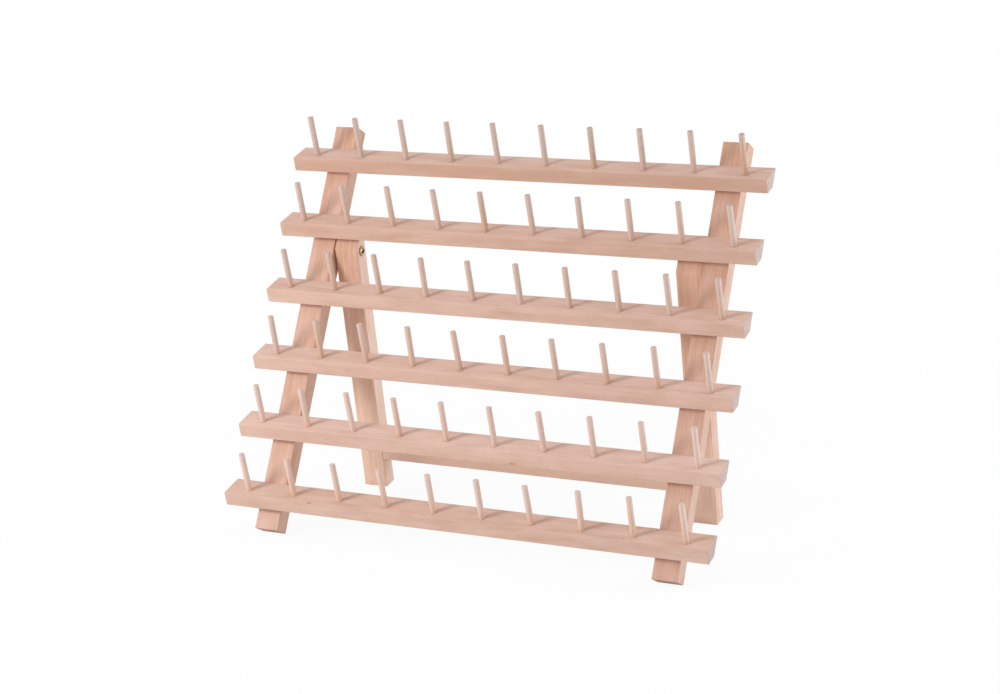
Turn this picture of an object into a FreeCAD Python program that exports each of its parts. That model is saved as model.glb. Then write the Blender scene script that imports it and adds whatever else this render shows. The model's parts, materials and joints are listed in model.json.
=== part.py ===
"""Folding thread rack in beech: six pegged rails on two leaning front legs, propped by a rear frame.

Millimetres. X runs along the rails, Y from front to back, Z up. The origin lies on the floor, under
the middle of the rack's box. The rear frame is two legs and a crossbar, and swings on two screws.
The rack is modelled open, with the rear frame against its stop.
"""
import FreeCAD, Part
import math
import os

Vector = FreeCAD.Vector

# Pegs
peg_pitch = 44.0            # axis to axis along a rail
pegs_per_rail = 10
peg_diameter = 5.0
peg_height = 36.0           # standing above the rail's top face
peg_rim = 0.8               # rounding of the peg's top edge
peg_setback = 8.3           # from the rail's front top edge back to the peg axes
tenon_diameter = 4.0        # the peg's shouldered, glued end
tenon_depth = 8.0           # below the rail's top face
glue_gap = 0.05             # round the glued end, on the radius

# Rails
rail_count = 6
rail_pitch = 60.4           # along the front legs
rail_depth = 24.0           # across the top face
rail_height = 12.3          # up the front face
rail_end = 20.5             # past the axis of the last peg
rail_rounding = 0.5         # long edges

# Legs
leg_width = 22.0            # along X
leg_thickness = 15.0
leg_rounding = 0.5          # long edges
leg_foot = 24.0             # front leg's lower end to the lowest rail
leg_top = 20.2              # highest rail to the front leg's upper end
leg_inset = 26.4            # rail end to the front leg's outer side
front_lean = 29.5           # degrees, front legs from upright
peg_slope = 43.0            # degrees, pegs and rail fronts from the front legs
leg_spread = 37.0           # degrees, rear legs from the front legs when open
mitre_tip = 1.5             # thickness left at the tip of the rear leg's mitre

# Crossbar between the rear legs, flush with their fronts
crossbar_height = 22.0      # along the rear legs
crossbar_thickness = 15.0
crossbar_rounding = 0.5     # long edges
crossbar_rise = 27.4        # rear leg's lower end to the crossbar

# Pivots
stop_rail = 2               # counted from the top: the rail that the mitres bear on
pivot_drop = 13.0           # pivot axis below that rail, along the front leg
pivot_diameter = 4.0        # screw shank
pivot_bite = 13.0           # screw's hold in the front leg
pivot_head_diameter = 9.6
pivot_head_height = 2.0
pivot_recess_span = 5.0     # across the cross recess
running_gap = 0.05          # rear leg's bore round the shank, on the radius
left_play = 1.2             # left rear leg to left front leg
right_play = 0.1            # right rear leg to right front leg
head_play = 0.1             # rear leg to screw head
fold_gap = 0.3              # rear leg to the rails' backs when folded
stop_gap = 0.1              # mitre to the stop rail's back when open

# Countersunk screws, through the front legs into the rails and through the rear legs into the crossbar
wood_screw_diameter = 3.5
wood_screw_head = 7.0
wood_screw_sink = 0.3       # head below the leg's face
wood_screw_recess_span = 3.8
rail_screw_bite = 5.3       # hold in the rail
rail_screw_rise = 4.5       # above the rail's lower back edge, along the front leg
crossbar_screw_bite = 16.0  # hold in the crossbar

# All screws
screw_gap = 0.05            # round a screw in its hole, on the radius
screw_end_gap = 0.5         # hole past the screw's point
screw_point = 3.0           # length of the pointed end
recess_width = 1.1
recess_depth = 1.3

parallel_tolerance = 1e-6   # sideways part of a unit direction that still counts as parallel

# Directions: along a front leg, out of its back, up a peg, and back across a rail's top
lean = math.radians(front_lean)
slope = math.radians(peg_slope)
spread = math.radians(leg_spread)
peg_tilt = slope - lean
rear_lean = spread - lean
leg_up = Vector(0, math.sin(lean), math.cos(lean))
leg_back = Vector(0, math.cos(lean), -math.sin(lean))
peg_up = Vector(0, -math.sin(peg_tilt), math.cos(peg_tilt))
rail_back = Vector(0, math.cos(peg_tilt), math.sin(peg_tilt))
rear_up = Vector(0, -math.sin(rear_lean), math.cos(rear_lean))
rear_back = Vector(0, math.cos(rear_lean), math.sin(rear_lean))

# Lengths that follow
peg_radius = peg_diameter / 2
tenon_radius = tenon_diameter / 2
pivot_radius = pivot_diameter / 2
rail_length = peg_pitch * (pegs_per_rail - 1) + 2 * rail_end
rail_seat = rail_height / math.cos(slope)
rail_underside = rail_depth - rail_height * math.tan(slope)
front_leg_length = leg_foot + rail_pitch * (rail_count - 1) + rail_seat + leg_top
front_leg_outer = rail_length / 2 - leg_inset
front_leg_inner = front_leg_outer - leg_width
leg_middle = front_leg_outer - leg_width / 2
pivot_length = leg_width + max(left_play, right_play) + head_play + pivot_bite
rail_screw_length = leg_thickness - wood_screw_sink + rail_screw_bite
crossbar_screw_length = leg_width - wood_screw_sink + crossbar_screw_bite

# The front legs stand on their lower back edge, so their lower front edge is a little off the floor.
# The lowest pegs reach furthest forward and the front legs' upper ends furthest back.
foot_lift = leg_thickness * math.sin(lean)
lowest_peg = leg_up * (leg_foot + rail_seat) - rail_back * (rail_depth - peg_setback)
front_reach = (lowest_peg.y - (peg_height - peg_rim) * math.sin(peg_tilt)
               - (peg_radius - peg_rim) * math.cos(peg_tilt) - peg_rim)
back_reach = (leg_up * front_leg_length + leg_back * leg_thickness).y
front_foot = Vector(0, -(front_reach + back_reach) / 2, foot_lift)

# The pivot axis lies behind the middle of the front leg by the gap left for folding flat.
pivot_setback = leg_thickness / 2 + fold_gap
pivot_rise = leg_foot + rail_pitch * (rail_count - stop_rail) - pivot_drop
pivot = front_foot + leg_up * pivot_rise + leg_back * pivot_setback

# A rear leg stands on its lower front edge.
rear_half = leg_thickness / 2
rear_drop = (pivot.z - rear_half * abs(math.sin(rear_lean))) / math.cos(rear_lean)
crossbar_corner = pivot - rear_back * rear_half + rear_up * (crossbar_rise - rear_drop)


def prism(corners, x_from, x_to):
    """Solid with the given side view, from one X to another."""
    outline = [Vector(x_from, corner.y, corner.z) for corner in corners]
    wire = Part.makePolygon(outline + outline[:1])
    return Part.Face(wire).extrude(Vector(x_to - x_from, 0, 0))


def round_edges(solid, direction, radius):
    """Rounds the straight edges that run along a direction."""
    edges = [edge for edge in solid.Edges
             if edge.tangentAt(edge.FirstParameter).cross(direction).Length < parallel_tolerance]
    return solid.makeFillet(radius, edges)


def turned(profile, base, axis):
    """Solid turned about an axis: profile holds (radius, distance along the axis) pairs."""
    outline = [Vector(radius, 0, along) for radius, along in profile]
    wire = Part.makePolygon(outline + outline[:1])
    solid = Part.Face(wire).revolve(Vector(0, 0, 0), Vector(0, 0, 1), 360)
    return placed(solid, base, axis)


def placed(solid, base, axis):
    """Moves a solid made on the Z axis to a base point and axis direction."""
    solid.Placement = FreeCAD.Placement(base, FreeCAD.Rotation(Vector(0, 0, 1), axis))
    return solid


def cross_recess(solid, span, top, base, axis):
    """Cuts a cross recess into a screw head whose top lies at a distance along its axis."""
    for length, width in ((span, recess_width), (recess_width, span)):
        corner = Vector(-length / 2, -width / 2, top - recess_depth)
        slot = Part.makeBox(length, width, 2 * recess_depth, corner)
        solid = solid.cut(placed(slot, base, axis))
    return solid.Solids[0]


def rail_corner(row):
    """Front top edge of a rail at X = 0. Row 1 is the highest."""
    seat = front_foot + leg_up * (leg_foot + rail_pitch * (rail_count - row) + rail_seat)
    return seat - rail_back * rail_depth


def peg_bases(row):
    """Points where the axes of a rail's pegs cross its top face."""
    first = rail_corner(row) + rail_back * peg_setback
    start = -peg_pitch * (pegs_per_rail - 1) / 2
    return [first + Vector(start + peg_pitch * place, 0, 0) for place in range(pegs_per_rail)]


def peg(base):
    """Round peg with a rounded rim, shouldered down to its glued end."""
    shaft = Part.makeCylinder(peg_radius, peg_height)
    rim = [edge for edge in shaft.Edges
           if len(edge.Vertexes) == 1 and edge.Vertexes[0].Z > peg_height / 2]
    shaft = shaft.makeFillet(peg_rim, rim)
    tenon = Part.makeCylinder(tenon_radius, tenon_depth, Vector(0, 0, -tenon_depth))
    return placed(shaft.fuse(tenon), base, peg_up).Solids[0]


def peg_row(row):
    """All pegs of one rail, as separate solids."""
    return Part.Compound([peg(base) for base in peg_bases(row)])


def wood_screw(base, axis, length):
    """Countersunk screw, from the middle of its head's flat along its axis."""
    head = wood_screw_head / 2
    shank = wood_screw_diameter / 2
    profile = [(0, 0), (head, 0), (shank, head - shank), (shank, length - screw_point), (0, length)]
    return cross_recess(turned(profile, base, axis), wood_screw_recess_span, 0, base, axis)


def wood_screw_hole(base, axis, length):
    """What a countersunk screw's hole takes out of both pieces that it joins."""
    head = wood_screw_head / 2 + screw_gap
    shank = wood_screw_diameter / 2 + screw_gap
    mouth = -2 * wood_screw_sink
    profile = [(0, mouth), (head, mouth), (head, 0), (shank, head - shank),
               (shank, length + screw_end_gap), (0, length + screw_end_gap)]
    return turned(profile, base, axis)


def rail_screw_place(row, side):
    """Head, axis and length of the screw through a front leg into a rail's back."""
    rise = leg_foot + rail_pitch * (rail_count - row) + rail_screw_rise
    back = leg_thickness - wood_screw_sink
    head = front_foot + leg_up * rise + leg_back * back + Vector(side * leg_middle, 0, 0)
    return head, -leg_back, rail_screw_length


def rear_leg_outer(side):
    """X of a rear leg's outer side. Side is -1 for the left and 1 for the right."""
    return side * (front_leg_inner - (left_play if side < 0 else right_play))


def rear_leg_inner(side):
    """X of a rear leg's inner side."""
    return rear_leg_outer(side) - side * leg_width


def crossbar_screw_place(side):
    """Head, axis and length of the screw through a rear leg into the crossbar's end."""
    middle = crossbar_corner + rear_up * (crossbar_height / 2) + rear_back * (crossbar_thickness / 2)
    head = middle + Vector(rear_leg_outer(side) - side * wood_screw_sink, 0, 0)
    return head, Vector(-side, 0, 0), crossbar_screw_length


def rail(row):
    """Beech rail: square to the pegs in front, bevelled behind to lie on the leaning legs."""
    front_top = rail_corner(row)
    front_bottom = front_top - peg_up * rail_height
    corners = [front_top, front_top + rail_back * rail_depth,
               front_bottom + rail_back * rail_underside, front_bottom]
    bar = prism(corners, -rail_length / 2, rail_length / 2)
    bar = round_edges(bar, Vector(1, 0, 0), rail_rounding)
    holes = [Part.makeCylinder(tenon_radius + glue_gap, 2 * tenon_depth, base - peg_up * tenon_depth, peg_up)
             for base in peg_bases(row)]
    holes += [wood_screw_hole(*rail_screw_place(row, side)) for side in (-1, 1)]
    return bar.cut(holes).Solids[0]


def pivot_start(side):
    """Underside of a pivot screw's head, on the pivot axis."""
    return pivot + Vector(rear_leg_inner(side) - side * head_play, 0, 0)


def front_leg(side):
    """Leaning leg, sawn square at both ends, with the rail screws' holes and the pivot screw's."""
    corners = [front_foot, front_foot + leg_up * front_leg_length,
               front_foot + leg_up * front_leg_length + leg_back * leg_thickness,
               front_foot + leg_back * leg_thickness]
    bar = prism(corners, side * front_leg_inner, side * front_leg_outer)
    bar = round_edges(bar, leg_up, leg_rounding)
    holes = [wood_screw_hole(*rail_screw_place(row, side)) for row in range(1, rail_count + 1)]
    holes.append(Part.makeCylinder(pivot_radius + screw_gap, pivot_length + screw_end_gap,
                                   pivot_start(side), Vector(side, 0, 0)))
    return bar.cut(holes).Solids[0]


def rear_leg(side):
    """Swinging leg: sawn square at the foot and mitred at the top to bear flat on the stop rail."""
    half = rear_half
    reach = pivot_setback - stop_gap
    bend_rise = (reach - half * math.cos(spread)) / math.sin(spread)
    tip_rise = (reach + (half - mitre_tip) * math.cos(spread)) / math.sin(spread)
    profile = [(-half, -rear_drop), (-half, bend_rise), (half - mitre_tip, tip_rise),
               (half, tip_rise), (half, -rear_drop)]
    corners = [pivot + rear_back * back + rear_up * rise for back, rise in profile]
    bar = prism(corners, rear_leg_inner(side), rear_leg_outer(side))
    bar = round_edges(bar, rear_up, min(leg_rounding, mitre_tip / 2))
    bore = Part.makeCylinder(pivot_radius + running_gap, pivot_length, pivot_start(side), Vector(side, 0, 0))
    return bar.cut([bore, wood_screw_hole(*crossbar_screw_place(side))]).Solids[0]


def crossbar():
    """Bar between the rear legs' inner sides that makes them one frame, screwed on at both ends."""
    corners = [crossbar_corner, crossbar_corner + rear_up * crossbar_height,
               crossbar_corner + rear_up * crossbar_height + rear_back * crossbar_thickness,
               crossbar_corner + rear_back * crossbar_thickness]
    bar = prism(corners, rear_leg_inner(-1), rear_leg_inner(1))
    bar = round_edges(bar, Vector(1, 0, 0), crossbar_rounding)
    return bar.cut([wood_screw_hole(*crossbar_screw_place(side)) for side in (-1, 1)]).Solids[0]


def pivot_screw(side):
    """Round-head screw that the rear leg swings on, driven into the front leg."""
    head = pivot_head_diameter / 2
    dome_radius = (head ** 2 + pivot_head_height ** 2) / (2 * pivot_head_height)
    dome = Part.makeSphere(dome_radius, Vector(0, 0, dome_radius - pivot_head_height))
    head_block = Part.makeCylinder(head, pivot_head_height, Vector(0, 0, -pivot_head_height))
    shank = turned([(0, 0), (pivot_radius, 0), (pivot_radius, pivot_length - screw_point), (0, pivot_length)],
                   Vector(0, 0, 0), Vector(0, 0, 1))
    axis = Vector(side, 0, 0)
    base = pivot_start(side)
    screw = placed(head_block.common(dome).fuse(shank), base, axis)
    return cross_recess(screw, pivot_recess_span, -pivot_head_height, base, axis)


nodes = {}
for row_number in range(1, rail_count + 1):
    nodes[f"rail_{row_number}"] = rail(row_number)
    nodes[f"rail_{row_number}_pegs"] = peg_row(row_number)
for side_name, side_sign in (("left", -1), ("right", 1)):
    nodes[f"{side_name}_front_leg"] = front_leg(side_sign)
    nodes[f"{side_name}_rear_leg"] = rear_leg(side_sign)
    nodes[f"{side_name}_pivot_screw"] = pivot_screw(side_sign)
    screws = [wood_screw(*rail_screw_place(row_number, side_sign)) for row_number in range(1, rail_count + 1)]
    nodes[f"{side_name}_rail_screws"] = Part.Compound(screws)
    nodes[f"{side_name}_crossbar_screw"] = wood_screw(*crossbar_screw_place(side_sign))
nodes["crossbar"] = crossbar()

os.makedirs("parts", exist_ok=True)
for node_name, shape in nodes.items():
    shape.exportStep(f"parts/{node_name}.step")
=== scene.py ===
"""Finished look of a folding thread rack in beech, dressed round its packed construction.

Everything is in metres in the rack's own frame: X along the rails, Y from front to back, Z up. Each piece
is a skin worked out with numpy from the places and sizes that the frame gives, and each finish is a small
node tree written as arithmetic.
"""
import json
import math
from collections import namedtuple

import bmesh
import bpy
import numpy as np
from bpy.props import FloatProperty, FloatVectorProperty, IntProperty, PointerProperty
from mathutils import Matrix, Vector


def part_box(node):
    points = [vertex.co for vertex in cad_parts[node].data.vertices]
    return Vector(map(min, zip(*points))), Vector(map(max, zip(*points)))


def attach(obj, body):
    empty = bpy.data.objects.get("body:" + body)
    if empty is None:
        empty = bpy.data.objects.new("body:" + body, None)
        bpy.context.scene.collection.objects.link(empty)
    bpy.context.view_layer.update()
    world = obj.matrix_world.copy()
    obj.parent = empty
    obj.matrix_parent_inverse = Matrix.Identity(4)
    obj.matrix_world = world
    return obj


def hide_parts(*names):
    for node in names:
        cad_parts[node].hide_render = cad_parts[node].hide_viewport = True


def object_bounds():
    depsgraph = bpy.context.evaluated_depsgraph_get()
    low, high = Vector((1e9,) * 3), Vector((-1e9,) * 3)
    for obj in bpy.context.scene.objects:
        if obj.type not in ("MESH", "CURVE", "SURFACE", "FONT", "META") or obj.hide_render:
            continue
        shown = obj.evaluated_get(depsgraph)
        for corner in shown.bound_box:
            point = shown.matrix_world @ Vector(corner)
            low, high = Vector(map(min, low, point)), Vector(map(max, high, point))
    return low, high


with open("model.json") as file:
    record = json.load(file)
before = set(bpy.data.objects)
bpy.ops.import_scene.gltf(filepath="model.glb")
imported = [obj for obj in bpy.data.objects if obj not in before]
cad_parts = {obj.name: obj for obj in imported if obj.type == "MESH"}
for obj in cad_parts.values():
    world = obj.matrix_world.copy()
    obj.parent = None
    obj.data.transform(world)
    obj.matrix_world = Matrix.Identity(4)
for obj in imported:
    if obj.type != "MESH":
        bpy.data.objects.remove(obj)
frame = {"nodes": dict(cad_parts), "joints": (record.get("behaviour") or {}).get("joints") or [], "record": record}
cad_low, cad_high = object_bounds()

bl_info = {
    "name": "Folding Thread Rack",
    "version": (1, 0, 0),
    "blender": (4, 5, 0),
    "location": "View3D > Sidebar > Thread Rack",
    "description": "Dresses a folding beech thread rack: rails, pegs, legs, crossbar, screws and stage",
    "category": "Object",
}

MM = 0.001
SIDES = {"left": -1, "right": 1}
X_AXIS = np.array((1.0, 0.0, 0.0))

mounts = {mount["name"]: mount for mount in frame["record"]["mounts"]}
fold = next(joint for joint in frame["joints"] if joint["name"] == "rear_frame_fold")
rows = sorted(int(name.split("_")[1]) for name in frame["nodes"] if name.endswith("_pegs"))


# Settings

def length(name, description, default):
    """A length that a user may change, in metres."""
    return FloatProperty(name=name, description=description, default=default, precision=5,
                         subtype="DISTANCE", unit="LENGTH")


def angle(name, description, degrees):
    """An angle that a user may change, given in degrees and kept in radians."""
    return FloatProperty(name=name, description=description, default=math.radians(degrees),
                         subtype="ANGLE", unit="ROTATION")


def share(name, description, default):
    """A strength between nothing and all."""
    return FloatProperty(name=name, description=description, default=default, min=0.0, max=1.0,
                         subtype="FACTOR")


def depth(name, description, default):
    """How deep a wood's colour is: below nothing is paler, above is deeper."""
    return FloatProperty(name=name, description=description, default=default)


def faces(name, default, description="How deep its front, right, back and left are at the foot"):
    """How deep the colours of a bar's four faces are: painted light and shade, each face paler or deeper by how
    light falls on it.
    """
    return FloatVectorProperty(name=name, description=description, default=default, size=4,
                               min=-1.0, max=1.0)


def by_row(name, description, default):
    """A value for each row, from the top one down."""
    return FloatVectorProperty(name=name, description=description, default=default, size=len(default))


def power(name, description, default):
    """A lamp's power, in watts."""
    return FloatProperty(name=name, description=description, default=default, unit="POWER")


def colour(name, description, default):
    """A linear colour."""
    return FloatVectorProperty(name=name, description=description, default=default, size=3,
                               min=0.0, max=1.0, subtype="COLOR")


class BarSettings(bpy.types.PropertyGroup):
    """Sections of the rails, legs and crossbar, and how their edges are eased."""

    rail_depth: length("Rail depth", "Across a rail's top face", 24 * MM)
    rail_height: length("Rail height", "Up a rail's front face", 12.3 * MM)
    leg_thickness: length("Leg thickness", "From a leg's front face to its back", 15 * MM)
    crossbar_height: length("Crossbar height", "Up the crossbar's front face", 22 * MM)
    crossbar_thickness: length("Crossbar thickness", "From the crossbar's front face to its back", 15 * MM)
    mitre_tip: length("Mitre tip", "Thickness left at the tip of a rear leg's mitre", 1.5 * MM)
    rounding: length("Rounding", "Radius of the long edges", 0.5 * MM)
    easing: length("End easing", "Radius of the edges round a sawn end", 0.35 * MM)
    unevenness: length("Unevenness", "How far hand sanding takes an edge in, at most", 0.12 * MM)


class PegSettings(bpy.types.PropertyGroup):
    """Shape of the pegs and how far each differs from the next."""

    setback: length("Setback", "From a rail's front top edge back to the peg axes", 8.3 * MM)
    rim: length("Rim", "Rounding of a peg's top edge", 0.8 * MM)
    sink: length("Sink", "How deep a peg shows inside its hole", 4 * MM)
    hole_gap: length("Hole gap", "Between a peg and its hole, on the radius", 0.06 * MM)
    hole_chamfer: length("Hole chamfer", "Width of the eased mouth of a peg hole", 0.3 * MM)
    lean_spread: angle("Lean spread", "Usual error of a peg's direction", 0.7)
    height_spread: length("Height spread", "Usual error of a peg's height", 0.25 * MM)
    radius_spread: length("Radius spread", "Usual error of a peg's radius", 0.03 * MM)
    # Painted light: a peg's colour is deeper and warmer at its foot, standing in for warm light bounced up from
    # the rail, and paler towards its tip.
    foot_depth: depth("Foot depth", "How deep a peg's colour is at its foot", 0.12)
    tip_depth: depth("Tip depth", "How deep a peg's colour is at its tip", -0.5)
    colour_spread: depth("Colour spread", "Usual difference in depth of colour between pegs", 0.18)
    seed: IntProperty(name="Seed", description="Start of the pegs' random errors", default=7)


class ScrewSettings(bpy.types.PropertyGroup):
    """Heads, shanks and recesses of the screws."""

    pivot_head_radius: length("Pivot head radius", "Round head of a pivot screw", 4.8 * MM)
    pivot_head_height: length("Pivot head height", "Crown of a pivot screw's head", 2 * MM)
    pivot_radius: length("Pivot radius", "Shank of a pivot screw", 2 * MM)
    pivot_recess: length("Pivot recess", "Across a pivot screw's cross recess", 5 * MM)
    head_play: length("Head play", "Between a rear leg and the pivot screw's head", 0.1 * MM)
    running_gap: length("Running gap", "Between the pivot shank and the rear leg, on the radius", 0.05 * MM)
    head_radius: length("Countersunk head radius", "Flat head of a countersunk screw", 3.5 * MM)
    radius: length("Countersunk screw radius", "Shank of a countersunk screw", 1.75 * MM)
    recess: length("Countersunk recess", "Across a countersunk screw's cross recess", 3.8 * MM)
    sink: length("Sink", "Countersunk head below the face that it lies in", 0.3 * MM)
    hole_gap: length("Hole gap", "Between a countersunk screw and its hole", 0.05 * MM)
    hole_edge: length("Hole edge", "Worn edge of a countersink", 0.15 * MM)
    rail_bite: length("Rail screw bite", "Hold in a rail", 5.3 * MM)
    rail_rise: length("Rail screw rise", "Above a rail's lower back edge, up the leg", 4.5 * MM)
    crossbar_bite: length("Crossbar screw bite", "Hold in the crossbar", 16 * MM)
    recess_width: length("Recess width", "Across one wing of a cross recess", 1.3 * MM)
    recess_depth: length("Recess depth", "At the middle of a cross recess", 1.3 * MM)
    point: length("Point", "Length of a screw's pointed end", 3 * MM)
    seed: IntProperty(name="Seed", description="Start of the heads' random turns", default=3)


class BeechSettings(bpy.types.PropertyGroup):
    """Colours and figure of bare sanded beech."""

    rail_pale: colour("Pale rails", "Rails, between the growth lines", (0.76, 0.54, 0.455))
    rail_deep: colour("Deep rails", "Rails, darker bands", (0.565, 0.347, 0.253))
    # The pegs' deep colour, strongest at the foot, is a warm orange that paints the rail's bounced light on a
    # peg's lower part.
    peg_pale: colour("Pale pegs", "Pegs, towards the tip", (0.695, 0.525, 0.452))
    peg_deep: colour("Deep pegs", "Pegs, towards the foot", (0.655, 0.394, 0.255))
    # The front legs' and rear frame's deep colours are more orange than the wood alone, partly painting the warm
    # light bounced between the wood onto shaded faces.
    front_pale: colour("Pale front legs", "Front legs, between the growth lines", (0.67, 0.435, 0.34))
    front_deep: colour("Deep front legs", "Front legs, darker bands", (0.55, 0.293, 0.187))
    rear_pale: colour("Pale rear frame", "Rear legs and crossbar, between the growth lines",
                      (0.85, 0.585, 0.455))
    rear_deep: colour("Deep rear frame", "Rear legs and crossbar, darker bands", (0.585, 0.322, 0.205))
    blush: colour("Blush", "Pinker patches", (0.70, 0.47, 0.39))
    fleck: colour("Flecks", "Short dark rays in the wood", (0.42, 0.235, 0.16))
    # The end grain's own darker tone, greyed as a painted sheen of the white surroundings on the sawn ends.
    end: colour("End grain", "Sawn ends of the bars", (0.45, 0.312, 0.267))
    peg_end: colour("Peg end grain", "Tops of the pegs", (0.55, 0.475, 0.445))
    # Partly each rail's own tone and partly painted shade: the top rows, further from the lamp, are deeper, and
    # the fronts are deeper than the tops, most on the top row, where less light reaches them.
    rail_depths: by_row("Rail depths", "How deep each rail's colour is, from the top row down",
                        (0.1, 0.1, 0.0, -0.04, -0.22, 0.14))
    rail_fronts: by_row("Rail fronts", "How much deeper each rail's front is than its top",
                        (0.72, 0.3, 0.12, 0.16, 0.22, 0.1))
    # Painted light: each row's pegs get a copy of the peg finish with its colours scaled, lighter in the lower
    # rows nearer the lamp and darker in the top rows.
    peg_painted_light: by_row("Peg lights", "How light each row's pegs are, from the top row down",
                       (0.85, 0.90, 0.91, 0.97, 1.07, 1.10))
    # Painted light and shade: each face of a leg or of the crossbar is paler or deeper by how light falls on it;
    # the left rear leg's right side, the right rear leg's front and the crossbar's front are painted paler as if
    # lit, and the left front leg's inner side deeper as if shaded.
    left_front: faces("Left front leg", (-0.15, 0.0, -0.1, -0.1))
    right_front: faces("Right front leg", (0.0, -0.1, -0.1, -0.1))
    front_drift: depth("Front leg drift", "How much deeper the front legs grow in a metre", 0.9)
    left_rear: faces("Left rear leg", (-0.4, -0.95, -0.15, -0.15))
    right_rear: faces("Right rear leg", (-0.27, 0.15, -0.05, -0.05))
    # Painted shade: the rear legs grow deeper towards the top, where the front legs and rails shade them.
    rear_shade_drift: depth("Rear leg drift", "How much deeper the rear legs grow in a metre", 3.1)
    crossbar: faces("Crossbar", (0.0, 0.0, 0.0, -0.7), "How deep its underside, back, top and front are")
    knot_length: length("Knot length", "Along the small knots in two rails, from the middle", 3.4 * MM)
    knot_width: length("Knot width", "Across the small knots, from the middle", 1.2 * MM)
    ring_width: length("Ring width", "Between growth lines", 2.3 * MM)
    roughness: share("Roughness", "Of the sanded surface", 0.62)
    seed: IntProperty(name="Seed", description="Start of the random cuts from the log", default=11)


class MetalSettings(bpy.types.PropertyGroup):
    """Colours of the screws."""

    brass: colour("Brass", "Yellow plating of the pivot screws", (0.50, 0.285, 0.16))
    tarnish: colour("Tarnish", "Darker patches on the brass", (0.12, 0.06, 0.026))
    # Painted shade: a dark colour laid deep in a screw's cross recess, where shade falls.
    recess_shade: colour("Painted recess shade", "Dust and oil in a screw's recess", (0.075, 0.034, 0.01))
    zinc: colour("Zinc", "Plating of the countersunk screws", (0.62, 0.63, 0.62))
    dull_zinc: colour("Dull zinc", "Cloudy patches on the zinc", (0.38, 0.39, 0.40))
    brass_roughness: share("Brass roughness", "Of the clean brass", 0.1)
    zinc_roughness: share("Zinc roughness", "Of the clean zinc", 0.28)


class StageSettings(bpy.types.PropertyGroup):
    """Camera, lamps and floor."""

    camera: FloatVectorProperty(name="Camera", description="Where the camera stands", size=3,
                                default=(0.772365, -1.590695, 0.631066),
                                subtype="TRANSLATION", unit="LENGTH")
    azimuth: angle("Azimuth", "Camera's turn round the rack from straight in front", 25.847)
    elevation: angle("Elevation", "Camera's downward look", 14.973)
    roll: angle("Roll", "Camera's tilt about its own axis", -2.317)
    lens: FloatProperty(name="Lens", description="Focal length", default=78.905, subtype="DISTANCE_CAMERA")
    key_power: power("Key lamp", "Low from the front left", 13.6)
    fill_power: power("Fill lamp", "Cool, from the right", 8.0)
    top_power: power("Top lamp", "Broad, from above", 1.5)
    ambient: share("Ambient", "Even light from all round", 0.6)
    floor_white: share("Floor white", "How much of the floor by the rack shows as plain white", 0.93)
    floor_near: length("Floor near", "Out to here from the middle, the floor shows shadow", 0.3)
    floor_far: length("Floor far", "From here on, the floor shows as plain white", 0.75)
    floor: colour("Floor", "Paper under the rack", (0.86, 0.86, 0.86))


class RackSettings(bpy.types.PropertyGroup):
    """Everything that a user would change on the rack."""

    bars: PointerProperty(type=BarSettings)
    pegs: PointerProperty(type=PegSettings)
    screws: PointerProperty(type=ScrewSettings)
    beech: PointerProperty(type=BeechSettings)
    metal: PointerProperty(type=MetalSettings)
    stage: PointerProperty(type=StageSettings)


# Places from the frame

Bar = namedtuple("Bar", "origin axes corners length")


def unit(vector):
    """The same direction with length one."""
    vector = np.asarray(vector, float)
    return vector / np.linalg.norm(vector)


def front_directions():
    """Up along a front leg and out of its back.

    The back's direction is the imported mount's, and the leg runs square to it and to X.
    """
    leg_back = unit(mounts["left_leg_back"]["axis"])
    return np.cross(X_AXIS, leg_back), leg_back


def fold_spread():
    """The angle between a front leg and an open rear leg: the whole range of the fold."""
    return math.radians(fold["range_deg"][1])


def rear_directions():
    """Up along an open rear leg and out of its back: a front leg's directions turned by the spread."""
    leg_up, leg_back = front_directions()
    spread = fold_spread()
    rear_up = math.cos(spread) * leg_up - math.sin(spread) * leg_back
    return rear_up, np.cross(rear_up, X_AXIS)


def oblong(half_first, half_second):
    """Corners of a section that lies evenly about its middle."""
    return np.array([(-half_first, -half_second), (half_first, -half_second),
                     (half_first, half_second), (-half_first, half_second)])


def row_pegs(row):
    """Points where a rail's pegs leave its top face, their direction, their wall's length and radius."""
    found = [mounts[name] for name in sorted(mounts) if name.startswith(f"row_{row}_peg_")]
    direction = unit(found[0]["axis"])
    wall = found[0]["dims"]["length_mm"] * MM
    middles = np.array([mount["pos_m"] for mount in found])
    return middles - direction * wall / 2, direction, wall, found[0]["dims"]["r_mm"] * MM


def rail_bar(settings, row):
    """A rail: its section is square in front, and its back lies along the leaning legs."""
    bases, up, _, _ = row_pegs(row)
    back = np.cross(up, X_AXIS)
    leg_up, _ = front_directions()
    depth = settings.bars.rail_depth
    height = settings.bars.rail_height
    underside = depth - height * (back @ leg_up) / (up @ leg_up)
    low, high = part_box(f"rail_{row}")
    origin = bases[0] - back * settings.pegs.setback
    origin[0] = low.x
    corners = np.array([(0, -height), (underside, -height), (depth, 0), (0, 0)])
    return Bar(origin, np.array([X_AXIS, back, up]), corners, high.x - low.x)


def front_leg_bar(settings, side):
    """A front leg: it stands on its lower back edge, so its lower front edge is off the floor."""
    leg_up, leg_back = front_directions()
    thick = settings.bars.leg_thickness
    low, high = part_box(f"{side}_front_leg")
    half = (high.x - low.x) / 2
    foot = low.z - leg_back[2] * thick
    origin = np.array(((low.x + high.x) / 2, low.y, foot))
    corners = np.array([(-half, 0), (half, 0), (half, thick), (-half, thick)])
    return Bar(origin, np.array([leg_up, X_AXIS, leg_back]), corners, (high.z - foot) / leg_up[2])


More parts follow.
